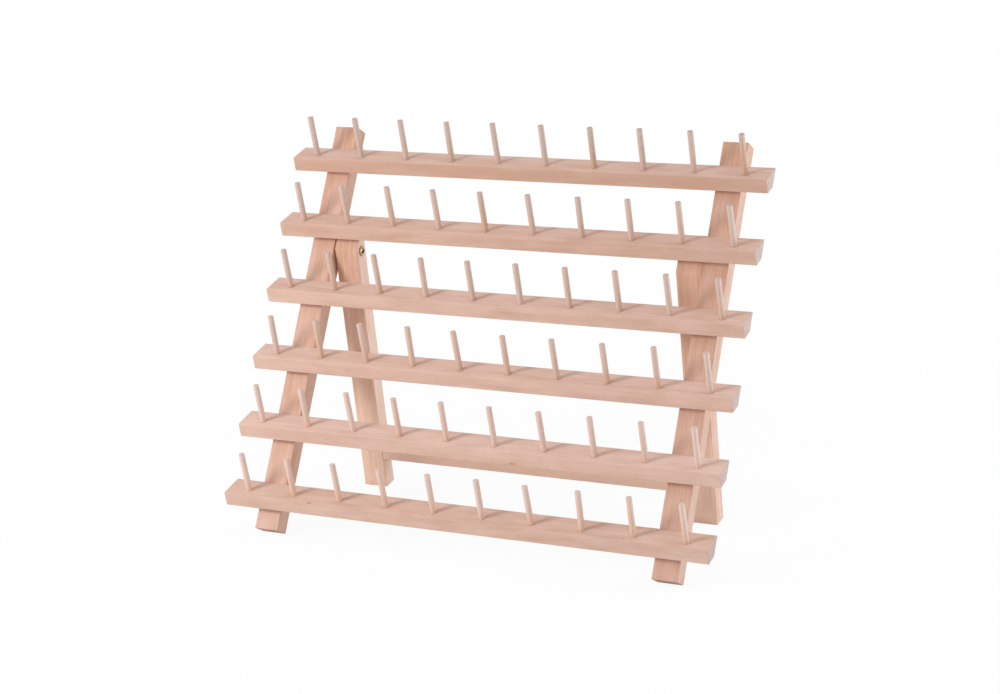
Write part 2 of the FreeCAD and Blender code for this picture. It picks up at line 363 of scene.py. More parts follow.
def rear_leg_bar(settings, side):
    """A rear leg, from its foot to its mitre's tip, and how far up it the pivot is."""
    rear_up, rear_back = rear_directions()
    half_thick = settings.bars.leg_thickness / 2
    low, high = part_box(f"{side}_rear_leg")
    half = (high.x - low.x) / 2
    pivot = np.array(fold["pos_m"])
    tip = (high.z - pivot[2] - half_thick * rear_back[2]) / rear_up[2]
    drop = (pivot[2] - low.z - half_thick * rear_back[2]) / rear_up[2]
    origin = np.array(((low.x + high.x) / 2, pivot[1], pivot[2])) - rear_up * drop
    return Bar(origin, np.array([rear_up, X_AXIS, rear_back]), oblong(half, half_thick), tip + drop), drop


def crossbar_bar(settings):
    """The crossbar, from one rear leg to the other and square to both."""
    rear_up, rear_back = rear_directions()
    low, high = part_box("crossbar")
    origin = np.array((low + high) / 2)
    origin[0] = low.x
    corners = oblong(settings.bars.crossbar_thickness / 2, settings.bars.crossbar_height / 2)
    return Bar(origin, np.array([X_AXIS, rear_back, rear_up]), corners, high.x - low.x)


def rail_screw_heads(settings, side):
    """Middles of a front leg's rail screw heads, on their flats, from the highest row down."""
    leg_up, leg_back = front_directions()
    low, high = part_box(f"{side}_front_leg")
    middle = (low.x + high.x) / 2
    heads = []
    for row in rows:
        bar = rail_bar(settings, row)
        seat = bar.origin + bar.corners[1] @ bar.axes[1:]
        head = seat + leg_up * settings.screws.rail_rise
        head += leg_back * (settings.bars.leg_thickness - settings.screws.sink)
        head[0] = middle
        heads.append(head)
    return np.array(heads)


def crossbar_screw_head(settings, side):
    """Middle of a crossbar screw's head, on its flat, in a rear leg's outer side."""
    head = crossbar_bar(settings).origin.copy()
    low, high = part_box(f"{side}_rear_leg")
    head[0] = SIDES[side] * (max(abs(low.x), abs(high.x)) - settings.screws.sink)
    return head


# Skins

Patch = namedtuple("Patch", "points arris end depth figure")
Hole = namedtuple("Hole", "face centre cell profile")
Part = namedtuple("Part", "patches origin axes turn shift board drift", defaults=(0.0, 0.0))

FACE_SHARES = np.array((0.0, 0.03, 0.25, 0.5, 0.75, 0.97, 1.0))
CAP_SHARES = np.array((0.04, 0.35, 0.7, 1.0))
RING_SHARES = np.array((0.0, 0.3, 0.55, 0.75, 0.9, 0.97, 1.0))
ARC_STEPS = 6
EASING_STEPS = 3
FADE_EASINGS = 8         # easings from a bar's end over which its edges grow uneven
WAVE_COUNT = 4
WAVE_RATES = (30, 190)   # of uneven sanding, slowest and fastest, in radians to a metre
MERGE_DISTANCE = 1e-7
SHARP_ANGLE = math.radians(38)
LOG_SLANT = 0.035
LOG_LENGTH = 9.0
BAR_FROM_PITH = (45 * MM, 110 * MM)
PEG_FROM_PITH = (20 * MM, 70 * MM)


def patch(points, arris=0.0, end=0.0, depth=0.0, figure=None):
    """A grid of local points: how far each lies on a rounded edge, painted darker as shade, and on a sawn end,
    and its depth of colour, which carries painted light and shade as well as the wood's own tone.

    Figure gives the points whose figure the grid shows, if they aren't its own.
    """
    fields = [np.broadcast_to(field, points.shape[:2]) for field in (arris, end, depth)]
    return Patch(points, *fields, points if figure is None else figure)


def rounded_section(corners, radius):
    """Faces and arcs of a convex section with round corners, corners counted anticlockwise.

    The arc at a corner starts radius times the tangent of half the turn before it, and its points are the
    centre plus the radius along directions that swing from one face's outward normal to the next one's.
    A face runs from the end of its own corner's arc to the start of the next.
    """
    forward = np.roll(corners, -1, axis=0) - corners
    forward /= np.linalg.norm(forward, axis=1)[:, None]
    outward = np.stack([forward[:, 1], -forward[:, 0]], axis=1)
    before = np.roll(forward, 1, axis=0)
    turn = np.arccos(np.clip(np.sum(before * forward, axis=1), -1, 1))
    tangent = radius * np.tan(turn / 2)[:, None]
    start = corners - before * tangent
    start_normal = np.roll(outward, 1, axis=0)
    centre = start - radius * start_normal
    first = np.arctan2(start_normal[:, 1], start_normal[:, 0])
    swing = first[:, None] + turn[:, None] * np.linspace(0, 1, ARC_STEPS + 1)
    arc_normals = np.stack([np.cos(swing), np.sin(swing)], axis=2)
    arcs = centre[:, None] + radius * arc_normals
    face_from = arcs[:, -1]
    face_to = np.roll(arcs[:, 0], -1, axis=0)
    return face_from, face_to, outward, arcs, arc_normals


def uneven(along, amount, random):
    """Smooth wander between nothing and amount: the mean of a few slow waves with random starts."""
    waves = random.uniform(*WAVE_RATES, WAVE_COUNT)
    starts = random.uniform(0, 2 * math.pi, WAVE_COUNT)
    wander = np.sin(along[..., None] * waves + starts).mean(axis=-1)
    return amount * (0.5 + 0.5 * wander)


def hole_rings(border, centre, across, outward, profile):
    """A face's stretch with a hole in it.

    Rings pass in a straight line from the stretch's border to the hole's mouth, each point at its own angle
    round the hole, and then follow the profile of (radius, depth) pairs down to the last one.
    """
    offset = border - centre
    turn = np.arctan2(offset[:, 1:] @ across, offset[:, 0])
    ray = np.concatenate([np.cos(turn)[:, None], np.sin(turn)[:, None] * across], axis=1)
    inward = -np.concatenate([(0.0,), outward])
    mouth = centre + profile[0][0] * ray
    flat = border + RING_SHARES[:, None, None] * (mouth - border)
    down = [centre + radius * ray + depth * inward for radius, depth in profile[1:]]
    return np.concatenate([flat, np.array(down).reshape(-1, *ray.shape)])


def straight(along, first, second):
    """Local points from stations along a bar and points of its section."""
    return np.stack([along, first, second], axis=-1)


def between(stations, first, last):
    """The stations from first to last, both counted."""
    return stations[(stations >= first - MERGE_DISTANCE) & (stations <= last + MERGE_DISTANCE)]


def strip(stations, line, bend):
    """A line of section points carried along the stations."""
    return bend(*np.broadcast_arrays(stations[:, None], line[..., 0], line[..., 1]))


def face_patches(start, stop, outward, stations, holes, bend, depth):
    """One flat face along a bar: strips between the holes and a ringed stretch round each hole."""
    across = unit(stop - start)
    line = start + FACE_SHARES[:, None] * (stop - start)
    patches = []
    reached = stations[0]
    for hole in sorted(holes, key=lambda hole: hole.centre[0]):
        patches.append(patch(strip(between(stations, reached, hole.cell[0]), line, bend), depth=depth))
        reached = hole.cell[-1]
        inside = between(stations, hole.cell[0], reached)
        near = [(inside, line[:1]), (inside[-1:], line),
                (inside[::-1], line[-1:]), (inside[:1], line[::-1])]
        sides = [bend(*np.broadcast_arrays(along, points[:, 0], points[:, 1])) for along, points in near]
        border = np.concatenate(sides)
        rings = hole_rings(np.vstack([border, border[:1]]), hole.centre, across, outward, hole.profile)
        patches.append(patch(rings, depth=depth))
    patches.append(patch(strip(between(stations, reached, stations[-1]), line, bend), depth=depth))
    return patches


def bar_patches(bar, settings, stations, holes, random, depths, bend, top_sawn):
    """Closed skin of a straight bar, in (along, first, second) coordinates.

    Every face of the section is carried along the stations as a flat grid and every corner as a round arc,
    taken in a little where sanding was uneven. An end is a quarter round of rings that step in by the
    easing, and then rings that shrink to the section's middle. Depths give how deep each face's colour is.
    The bend turns a station and a section point into a local point, so that the last end may be mitred, and
    top_sawn is how far that end shows end grain rather than the first face's figure carried on.
    """
    easing = settings.bars.easing
    face_from, face_to, outward, arcs, arc_normals = rounded_section(bar.corners, settings.bars.rounding)
    on_arc = np.sin(math.pi * np.linspace(0, 1, ARC_STEPS + 1))
    patches = []
    outline = []
    normals = []
    for face in range(len(bar.corners)):
        face_holes = [hole for hole in holes if hole.face == face]
        patches += face_patches(face_from[face], face_to[face], outward[face], stations, face_holes, bend,
                                depths[face])
        outline.append(face_from[face] + FACE_SHARES[:, None] * (face_to[face] - face_from[face]))
        normals.append(np.tile(outward[face], (len(FACE_SHARES), 1)))
        corner = (face + 1) % len(bar.corners)
        dent = uneven(stations, settings.bars.unevenness, random)
        from_end = np.minimum(stations - stations[0], stations[-1] - stations)
        fade = np.minimum(1, from_end / (FADE_EASINGS * easing))
        taken = (dent * fade)[:, None] * on_arc
        line = arcs[corner][None] - taken[..., None] * arc_normals[corner][None]
        turning = np.linspace(depths[face], depths[corner], ARC_STEPS + 1)
        patches.append(patch(strip(stations, line, bend), on_arc, depth=turning))
        outline.append(arcs[corner])
        normals.append(arc_normals[corner])
    outline = np.concatenate(outline + [outline[0][:1]])
    normals = np.concatenate(normals + [normals[0][:1]])
    middle = bar.corners.mean(axis=0)
    quarter = np.linspace(0, math.pi / 2, EASING_STEPS + 1)
    for station, outwards, most in ((stations[0], -1, 1.0), (stations[-1], 1, top_sawn)):
        rings = outline - easing * (1 - np.cos(quarter))[:, None, None] * normals
        rim = rings[-1]
        cap = rim + CAP_SHARES[:, None, None] * (middle - rim)
        section = np.concatenate([rings, cap])
        out = np.concatenate([easing * np.sin(quarter), np.full(len(CAP_SHARES), easing)])
        points = bend(np.full(section.shape[:2], station), section[..., 0], section[..., 1])
        points[..., 0] += outwards * out[:, None]
        # The eased edge round a sawn end, which the finish paints darker as shade and makes a little smoother.
        edge_shade_and_wear = np.concatenate([np.sin(2 * quarter), np.zeros(len(CAP_SHARES))])
        sawn = np.concatenate([np.linspace(0, 1, len(quarter)), np.ones(len(CAP_SHARES))])
        figure = points.copy()
        figure[..., 2] = most * points[..., 2] + (1 - most) * bar.corners[0][1]
        plain = (1 - most) * depths[0]
        patches.append(patch(points, most * edge_shade_and_wear[:, None], most * sawn[:, None], plain, figure))
    return patches


def bar_part(bar, settings, cells, holes, random, depths, board=0.0, drift=0.0, bend=straight,
             top_sawn=1.0):
    """A bar's skin in its place, with how the bar lay in its log."""
    easing = settings.bars.easing
    stations = station_line(easing, bar.length - easing, cells)
    patches = bar_patches(bar, settings, stations, holes, random, depths, bend, top_sawn)
    return Part(patches, bar.origin, bar.axes, *log_cut(random, BAR_FROM_PITH), board, drift)


def turned_patch(radius, height, steps, arris=0.0, end=0.0):
    """A profile of radii and heights carried round an axis, in (along, first, second) coordinates."""
    turn = np.linspace(0, 2 * math.pi, steps + 1)
    along = np.broadcast_to(height[:, None], (len(height), steps + 1))
    points = np.stack([along, radius[:, None] * np.cos(turn), radius[:, None] * np.sin(turn)], axis=-1)
    return patch(points, np.reshape(arris, (-1, 1)), np.reshape(end, (-1, 1)))


def turned_axes(axis, first):
    """A turned part's axes: its own, one square to it, and one square to both."""
    return np.array([axis, first, np.cross(axis, first)])


def log_cut(random, from_pith):
    """How a piece lay in its log: a turn about its length, a slight slant, and a shift from the pith."""
    roll = random.uniform(0, 2 * math.pi)
    slant = random.uniform(-LOG_SLANT, LOG_SLANT, 2)
    cos = math.cos(roll)
    sin = math.sin(roll)
    turn = np.array([(1, *slant), (0, cos, sin), (0, -sin, cos)])
    shift = np.array((random.uniform(0, LOG_LENGTH), random.uniform(*from_pith), 0.0))
    return turn, shift


def grid_faces(shape, first):
    """Corner numbers of a grid's quads, where the grid's points are counted row by row from first."""
    numbers = first + np.arange(shape[0] * shape[1]).reshape(shape)
    quads = [numbers[:-1, :-1], numbers[1:, :-1], numbers[1:, 1:], numbers[:-1, 1:]]
    return np.stack(quads, axis=-1).reshape(-1, 4)


def make_piece(material, node, parts, finish, body):
    """One object from its parts' patches: joined, closed, shaded, given its finish, tied to its body, and with the
    node that it stands for hidden.

    Its name is its material's and the node's that it stands for.
    The mesh keeps four attributes for its finish: grain, the place in the log in metres, arris, how far a
    point lies on a rounded edge, which the finish paints darker as shade and makes a little smoother, end, how
    far it lies on a sawn end or deep in a screw's recess, and board, how deep its part's colour is there: the
    part's own depth, plus its drift times the distance along it, plus the face's own depth. That depth carries
    painted light and shade on some rows, faces and peg feet as well as the wood's own tone.
    """
    world = []
    grain = []
    arris = []
    end = []
    board = []
    faces = []
    count = 0
    for part in parts:
        for grid in part.patches:
            local = grid.points.reshape(-1, 3)
            world.append(part.origin + local @ part.axes)
            grain.append(grid.figure.reshape(-1, 3) @ part.turn + part.shift)
            arris.append(grid.arris.ravel())
            end.append(grid.end.ravel())
            board.append(part.board + part.drift * local[:, 0] + grid.depth.ravel())
            faces.append(grid_faces(grid.points.shape[:2], count))
            count += len(local)
    faces = np.concatenate(faces)
    name = f"{material}_{node}"
    mesh = bpy.data.meshes.new(name)
    mesh.vertices.add(count)
    mesh.vertices.foreach_set("co", np.concatenate(world).astype(np.float32).ravel())
    mesh.loops.add(faces.size)
    mesh.loops.foreach_set("vertex_index", faces.astype(np.int32).ravel())
    mesh.polygons.add(len(faces))
    mesh.polygons.foreach_set("loop_start", np.arange(0, faces.size, 4, dtype=np.int32))
    mesh.update(calc_edges=True)
    place = mesh.attributes.new("grain", "FLOAT_VECTOR", "POINT")
    place.data.foreach_set("vector", np.concatenate(grain).astype(np.float32).ravel())
    for label, values in (("arris", arris), ("end", end), ("board", board)):
        attribute = mesh.attributes.new(label, "FLOAT", "POINT")
        attribute.data.foreach_set("value", np.concatenate(values).astype(np.float32))
    close_mesh(mesh)
    mesh.materials.append(finish)
    piece = bpy.data.objects.new(name, mesh)
    bpy.context.scene.collection.objects.link(piece)
    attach(piece, body)
    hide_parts(node)


def close_mesh(mesh):
    """Merges the points that patches share, turns every face outwards and marks the sharp edges."""
    work = bmesh.new()
    work.from_mesh(mesh)
    bmesh.ops.remove_doubles(work, verts=work.verts, dist=MERGE_DISTANCE)
    bmesh.ops.recalc_face_normals(work, faces=work.faces)
    loose = [edge for edge in work.edges if not edge.is_manifold]
    work.to_mesh(mesh)
    work.free()
    if loose:
        raise RuntimeError(f"{mesh.name} has {len(loose)} edges that two faces don't share")
    mesh.shade_smooth()
    mesh.set_sharp_from_angle(angle=SHARP_ANGLE)


# Finishes

class Signal:
    """A value that varies over a surface. Arithmetic on it adds Math nodes to its finish."""

    def __init__(self, finish, socket):
        self.finish = finish
        self.socket = socket

    def __add__(self, other):
        return self.finish.math("ADD", self, other)

    def __sub__(self, other):
        return self.finish.math("SUBTRACT", self, other)

    def __rsub__(self, other):
        return self.finish.math("SUBTRACT", other, self)

    def __mul__(self, other):
        return self.finish.math("MULTIPLY", self, other)

    def __truediv__(self, other):
        return self.finish.math("DIVIDE", self, other)

    def __rtruediv__(self, other):
        return self.finish.math("DIVIDE", other, self)

    __radd__ = __add__
    __rmul__ = __mul__


class Finish:
    """A node tree being written: a material's or the world's."""

    def __init__(self, owner):
        self.owner = owner
        owner.use_nodes = True
        self.tree = owner.node_tree
        self.tree.nodes.clear()

    def node(self, kind, settings=None, sockets=None, output=0):
        """Adds a node: its settings first, then its sockets' values or links. Returns one output."""
        node = self.tree.nodes.new(kind)
        for key, value in (settings or {}).items():
            setattr(node, key, value)
        for key, value in (sockets or {}).items():
            self.feed(next(socket for socket in node.inputs if socket.identifier == key), value)
        if not node.outputs:
            return None
        if isinstance(output, int):
            return Signal(self, node.outputs[output])
        return Signal(self, next(socket for socket in node.outputs if socket.identifier == output))

    def feed(self, socket, value):
        """Links a signal to a socket, or sets the socket's own value."""
        if isinstance(value, Signal):
            self.tree.links.new(value.socket, socket)
        elif socket.type == "RGBA" and len(value) == 3:
            socket.default_value = (*value, 1.0)
        else:
            socket.default_value = value

    def math(self, operation, first, second=0.0):
        """A Math node."""
        return self.node("ShaderNodeMath", {"operation": operation}, {"Value": first, "Value_001": second})

    def attribute(self, name, output):
        """One of the mesh's own attributes."""
        return self.node("ShaderNodeAttribute", {"attribute_name": name}, output=output)

    def vector(self, operation, first, second=(0, 0, 0), output="Vector"):
        """A Vector Math node."""
        return self.node("ShaderNodeVectorMath", {"operation": operation},
                         {"Vector": first, "Vector_001": second}, output)

    def size(self, vector):
        """How long a vector is."""
        return self.vector("LENGTH", vector, output="Value")

    def grain(self):
        """A point's place in its log, or about its screw, in millimetres."""
        return self.vector("MULTIPLY", self.attribute("grain", "Vector"), (1 / MM, 1 / MM, 1 / MM))

    def from_axis(self, place):
        """How far a place is from the pith or the screw's axis."""
        return self.size(self.vector("MULTIPLY", place, (0, 1, 1)))

    def noise(self, place, pattern, output="Fac"):
        """Noise drawn out along the grain."""
        stretched = self.vector("MULTIPLY", place, (pattern.along, pattern.across, pattern.across))
        return self.node("ShaderNodeTexNoise", None, {"Vector": stretched, "Scale": 1.0,
                                                      "Detail": pattern.detail,
                                                      "Roughness": pattern.roughness}, output)

    def bump(self, strength, distance, height):
        """The normal of a surface with a fine relief on it."""
        return self.node("ShaderNodeBump", None,
                         {"Strength": strength, "Distance": distance, "Height": height})

    def step(self, value, low, high):
        """Rises smoothly from nothing at low to one at high."""
        return self.node("ShaderNodeMapRange", {"interpolation_type": "SMOOTHSTEP"},
                         {"Value": value, "From Min": low, "From Max": high})

    def mix(self, factor, first, second):
        """From one colour to another."""
        return self.node("ShaderNodeMix", {"data_type": "RGBA"},
                         {"Factor_Float": factor, "A_Color": first, "B_Color": second}, "Result_Color")

    def surface(self, **sockets):
        """The shader that ends a material; underscores in names stand for spaces."""
        named = {key.replace("_", " "): value for key, value in sockets.items()}
        shader = self.node("ShaderNodeBsdfPrincipled", None, named)
        self.node("ShaderNodeOutputMaterial", None, {"Surface": shader})
        return self.owner


def weighted(start, signals, weights):
    """Start plus each signal that the weights name, times its weight."""
    for key, weight in weights.items():
        start = start + signals[key] * weight
    return start


Pattern = namedtuple("Pattern", "along across detail roughness", defaults=(0.5,))
Spots = namedtuple("Spots", "pattern least most")

# Noise, in waves to a millimetre along and across the grain, and where it is high enough for a spot.
DRIFT = Pattern(0.006, 0.05, 2.0)
GRAIN = {"band": Pattern(0.004, 0.13, 2.0), "cloud": Pattern(0.03, 0.11, 3.0, 0.55),
         "streak": Pattern(0.012, 0.6, 4.0, 0.65), "fibre": Pattern(0.09, 5.0, 2.0, 0.6)}
SPOTS = {"fleck": Spots(Pattern(0.28, 2.1, 1.0), 0.6, 0.72),
         "pore": Spots(Pattern(0.5, 4.5, 1.0), 0.55, 0.7),
         "blush": Spots(Pattern(0.016, 0.08, 2.0), 0.4, 0.68)}
PATINA = Spots(Pattern(0.5, 0.5, 4.0, 0.6), 0.42, 0.75)

NOISE_MEAN = 0.5
WANDER = (0, 7, 7)       # of the growth lines, in millimetres
RING_RISE = (0.45, 0.93)        # shares of a growth ring where its line deepens
RING_FALL = (0.93, 1.0)  # and where it ends
KNOT_EDGE = (0.4, 1.0)   # shares of a knot's size where it fades
RECESS_SHADE_EDGE = (0.05, 0.5)  # shares of a recess's depth where its painted shade begins and is full
DEPTH_RANGE = (-0.15, 1.15)     # from the pale colour to the deep one
MIDDLE_DEPTH = 0.36

# What each signal adds to the depth of colour, the cover of a layer, the relief and the roughness.
DEPTHS = {"band": 0.6, "cloud": 1.1, "fibre": 0.18}
FIGURES = {"rail": {"streak": 0.45, "ring": 0.1}, "peg": {"streak": 0.5, "ring": 0.0},
           "front": {"streak": 1.5, "ring": 0.15}, "rear": {"streak": 1.1, "ring": 0.1}}
# The arris cover paints shade on rounded edges, the recess cover paints shade deep in screw recesses, and the end
# cover lays the end grain's colour, itself partly a painted sheen.
COVERS = {"blush": 0.3, "arris": 0.6, "fleck": 0.3, "knot": 0.85, "end": 0.8, "pore": 0.35, "recess_shade_mask": 0.9}
BEECH_RELIEF = {"fibre": 0.5, "ring": 0.25, "fleck": -0.6, "pore": -1.0}
BEECH_ROUGHNESS = {"streak": 0.16, "end": 0.1, "arris": -0.06}
METAL_RELIEF = {"marks": 1.0, "cloud": 0.5}
METAL_ROUGHNESS = {"cloud": 0.22, "marks": 0.12, "recess_shade_mask": 0.3}
METAL_SHEEN = {"patina": -0.25, "recess_shade_mask": -0.1}
BEECH_BUMP = (0.35, 0.05 * MM)  # strength and height
METAL_BUMP = (0.3, 0.02 * MM)
BEECH_SPECULAR = 0.35
MARKS_TO_MM = 9.0
MARKS_DETAIL = 2.0


def beech_finish(name, beech, kind, end_colour, light=1.0, knots=()):
    """Bare sanded beech, solid through the piece, so that faces, edges and ends show one log.

    Growth lines are the fractional part of the distance from the pith over the ring width, wandered by slow
    noise. Streaks and short flecks are noise drawn out along the grain, and sawn ends show pores instead.
    Kind names the wood's colours and figure, and light scales its colours, which paints lighter or darker
    copies of one finish for pegs that stand in more or less light. Each of the knots, places in the
    rack's frame, is dark inside a long thin ellipsoid.
    """
    finish = Finish(bpy.data.materials.new(name))
    colours = (getattr(beech, f"{kind}_pale"), getattr(beech, f"{kind}_deep"), end_colour)
    pale, deep, sawn = light * np.array(colours)
    place = finish.grain()
    drift = finish.vector("SUBTRACT", finish.noise(place, DRIFT, "Color"), (NOISE_MEAN,) * 3)
    place = finish.vector("ADD", place, finish.vector("MULTIPLY", drift, WANDER))
    phase = finish.math("FRACT", finish.from_axis(place) / (beech.ring_width / MM))
    signals = {key: finish.noise(place, pattern) - NOISE_MEAN for key, pattern in GRAIN.items()}
    for key, spots in SPOTS.items():
        signals[key] = finish.step(finish.noise(place, spots.pattern), spots.least, spots.most)
    for key in ("arris", "end"):
        signals[key] = finish.attribute(key, "Fac")
    signals["ring"] = finish.step(phase, *RING_RISE) * (1 - finish.step(phase, *RING_FALL))
    signals["fleck"] *= 1 - signals["end"]
    signals["pore"] *= signals["end"]
    signals["knot"] = 0
    for knot in knots:
        spot = finish.vector("SUBTRACT", finish.node("ShaderNodeTexCoord", output="Object"), knot)
        scale = (1 / beech.knot_length, 1 / beech.knot_width, 1 / beech.knot_width)
        away = finish.size(finish.vector("MULTIPLY", spot, scale))
        signals["knot"] += 1 - finish.step(away, *KNOT_EDGE)
    # The part's depth of colour carries the wood's own tone and painted light and shade on some rows, faces and
    # peg feet.
    depth = weighted(MIDDLE_DEPTH + finish.attribute("board", "Fac"), signals, DEPTHS | FIGURES[kind])
    tone = finish.mix(finish.step(depth, *DEPTH_RANGE), pale, deep)
    # The arris layer paints shade on the rounded edges: their deep colour hides the highlight that they catch.
    layers = {"blush": beech.blush, "arris": deep, "fleck": beech.fleck, "knot": beech.fleck, "end": sawn,
              "pore": beech.fleck}
    for key, layer in layers.items():
        tone = finish.mix(signals[key] * COVERS[key], tone, layer)
    normal = finish.bump(*BEECH_BUMP, weighted(0.0, signals, BEECH_RELIEF))
    rough = weighted(beech.roughness, signals, BEECH_ROUGHNESS)
    return finish.surface(Base_Color=tone, Roughness=rough, Normal=normal,
                          Specular_IOR_Level=BEECH_SPECULAR)


def metal_finish(name, bright, dull, recess_shade, roughness):
    """Plated metal: cloudy patches, fine turning marks round the axis and painted shade deep in the recess."""
    finish = Finish(bpy.data.materials.new(name))
    place = finish.grain()
    marks = finish.node("ShaderNodeTexNoise", {"noise_dimensions": "1D"},
                        {"W": finish.from_axis(place), "Scale": MARKS_TO_MM, "Detail": MARKS_DETAIL},
                        "Fac")
    cloud = finish.noise(place, PATINA.pattern)
    patina = finish.step(cloud, PATINA.least, PATINA.most)
    # Painted shade: deeper in the recess the metal turns darker, rougher and less metallic.
    recess_shade_mask = finish.step(finish.attribute("end", "Fac"), *RECESS_SHADE_EDGE)
    signals = {"marks": marks - NOISE_MEAN, "cloud": cloud, "patina": patina, "recess_shade_mask": recess_shade_mask}
    tone = finish.mix(recess_shade_mask * COVERS["recess_shade_mask"], finish.mix(patina, bright, dull), recess_shade)
    normal = finish.bump(*METAL_BUMP, weighted(0.0, signals, METAL_RELIEF))
    return finish.surface(Base_Color=tone, Metallic=weighted(1.0, signals, METAL_SHEEN),
                          Roughness=weighted(roughness, signals, METAL_ROUGHNESS), Normal=normal)


# Pieces

Knot = namedtuple("Knot", "row along drop")
HeadGrid = namedtuple("HeadGrid", "rings sides reach edge")

KNOTS = (Knot(5, 39 * MM, 10.5 * MM), Knot(6, -135 * MM, 0.2 * MM))
CELL_STEPS = 24
CELL_CROWD = 0.3
PEG_CELL = 19.5 * MM     # half a peg hole's stretch of a rail
SCREW_CELL = 14 * MM     # half a screw hole's stretch of a leg
PIVOT_CELL = (0.87, 0.985)      # a pivot hole's stretch of a rear leg, in shares of its length
STATION_STEP = 8 * MM
STATION_DIGITS = 9
BLIND_SHARE = 0.9        # of a leg's depth that a screw hole shows
RAIL_TOP = 2             # faces are counted as their bar's corners are
LEG_RIGHT = 1
LEG_BACK = 2
LEG_LEFT = 3
OUTER_FACES = {"left": LEG_LEFT, "right": LEG_RIGHT}
PEG_SIDES = 40
PEG_WALL_STEPS = 6
PEG_RIM_STEPS = 6
PEG_FOOT_BEVEL = 0.3 * MM
PEG_TOP_SHARES = np.array((0.9, 0.5, 0.0))
PEG_END_SHARES = (0.65, 1)      # how far a peg's top shows end grain, at least and at most
SHORTEST = 2             # usual errors of height that a peg is short by, at most
RECESS_WALL = 0.2        # of a wing's width that its walls slope over
RECESS_RISE = 0.5        # of a recess's depth that its floor rises by
# Rings over a screw head's top, points round it, the share of its radius reached and its edge's height.
PIVOT_HEAD = HeadGrid(56, 112, 0.985, 0.05 * MM)
FLAT_HEAD = HeadGrid(36, 72, 0.97, 0.1 * MM)
PIVOT_ROLLS = (0.2, 0.6)
SCREW_SHIFT = 1.0        # at most, so that each screw's clouds differ
ASKEW = (0.3, 0.5, 0.8)  # along no screw


def cell_stations(centre, half):
    """Stations over a hole's stretch, crowded at the hole: half times a cubic of even steps."""
    step = np.linspace(-1, 1, CELL_STEPS + 1)
    return centre + half * step * (CELL_CROWD + (1 - CELL_CROWD) * step ** 2)


def station_line(first, last, cells):
    """Stations from first to last: those of the cells, and even ones between the cells."""
    found = []
    reached = first
    for cell in [*cells, np.array((last,))]:
        steps = max(1, round((cell[0] - reached) / STATION_STEP))
        found += [np.linspace(reached, cell[0], steps + 1)[:-1], cell]
        reached = cell[-1]
    return np.unique(np.round(np.concatenate(found), STATION_DIGITS))


def knot_place(settings, knot):
    """A point on a rail's front: so far along X from the rack's middle and so far below the top edge."""
    bar = rail_bar(settings, knot.row)
    place = bar.origin - bar.axes[2] * knot.drop
    place[0] = knot.along
    return place


def rail_parts(settings, row, random):
    """A rail's skin, with an eased hole under each peg."""
    bar = rail_bar(settings, row)
    bases, _, _, radius = row_pegs(row)
    pegs = settings.pegs
    beech = settings.beech
    bore = radius + pegs.hole_gap
    mouth = bore + pegs.hole_chamfer
    profile = [(mouth, 0), (bore, pegs.hole_chamfer), (bore, pegs.sink), (0, pegs.sink)]
    cells = [cell_stations(base[0] - bar.origin[0], PEG_CELL) for base in bases]
    centres = [np.array((cell[CELL_STEPS // 2], pegs.setback, 0)) for cell in cells]
    holes = [Hole(RAIL_TOP, centre, cell, profile) for centre, cell in zip(centres, cells)]
    order = rows.index(row)
    # The row's depth and its front's depth paint shade as well as the rail's own tone.
    depths = (0.0, 0.0, 0.0, beech.rail_fronts[order])
    return [bar_part(bar, settings, cells, holes, random, depths, beech.rail_depths[order])]


def peg_profile(pegs, size, top):
    """Up a peg: radii, heights, and how far each is on the rounded rim, which is painted darker as shade, and on
    the sawn top.

    A bevelled foot inside the hole, a straight wall, a quarter round and a flat top.
    """
    quarter = np.linspace(0, math.pi / 2, PEG_RIM_STEPS + 1)
    wall = np.linspace(0, top - pegs.rim, PEG_WALL_STEPS + 1)[:-1]
    flat = size - pegs.rim
    radii = np.concatenate([(0, size - PEG_FOOT_BEVEL, size), np.full(len(wall), size),
                            flat + pegs.rim * np.cos(quarter), flat * PEG_TOP_SHARES])
    heights = np.concatenate([(-pegs.sink, -pegs.sink, PEG_FOOT_BEVEL - pegs.sink), wall,
                              top - pegs.rim + pegs.rim * np.sin(quarter),
                              np.full(len(PEG_TOP_SHARES), top)])
    sawn = np.ones(len(PEG_TOP_SHARES))
    plain = np.zeros(len(radii) - len(quarter) - len(sawn))
    arris = np.concatenate([plain, np.sin(2 * quarter), 0 * sawn])
    end = np.concatenate([plain, np.linspace(0, 1, len(quarter)), sawn])
    return radii, heights, arris, end


def peg_parts(settings, row, random):
    """A rail's pegs: turned dowels, each a little out of true."""
    pegs = settings.pegs
    bases, up, wall, radius = row_pegs(row)
    back = np.cross(up, X_AXIS)
    parts = []
    for base in bases:
        size = radius + random.normal(0, pegs.radius_spread)
        error = np.clip(random.normal(0, pegs.height_spread), -SHORTEST * pegs.height_spread, 0)
        top = wall + pegs.rim + error
        lean = random.normal(0, pegs.lean_spread, 2)
        axis = unit(up + lean[0] * X_AXIS + lean[1] * back)
        first = unit(np.cross(axis, np.cross(X_AXIS, axis)))
        radii, heights, arris, end = peg_profile(pegs, size, top)
        skin = turned_patch(radii, heights, PEG_SIDES, arris, end * random.uniform(*PEG_END_SHARES))
        # Deeper at the foot and paler at the tip as painted bounce light, plus a random tone of the peg's own.
        board = pegs.foot_depth + random.normal(0, pegs.colour_spread)
        drift = (pegs.tip_depth - pegs.foot_depth) / top
        cut = log_cut(random, PEG_FROM_PITH)
        parts.append(Part([skin], base, turned_axes(axis, first), *cut, board, drift))
    return parts


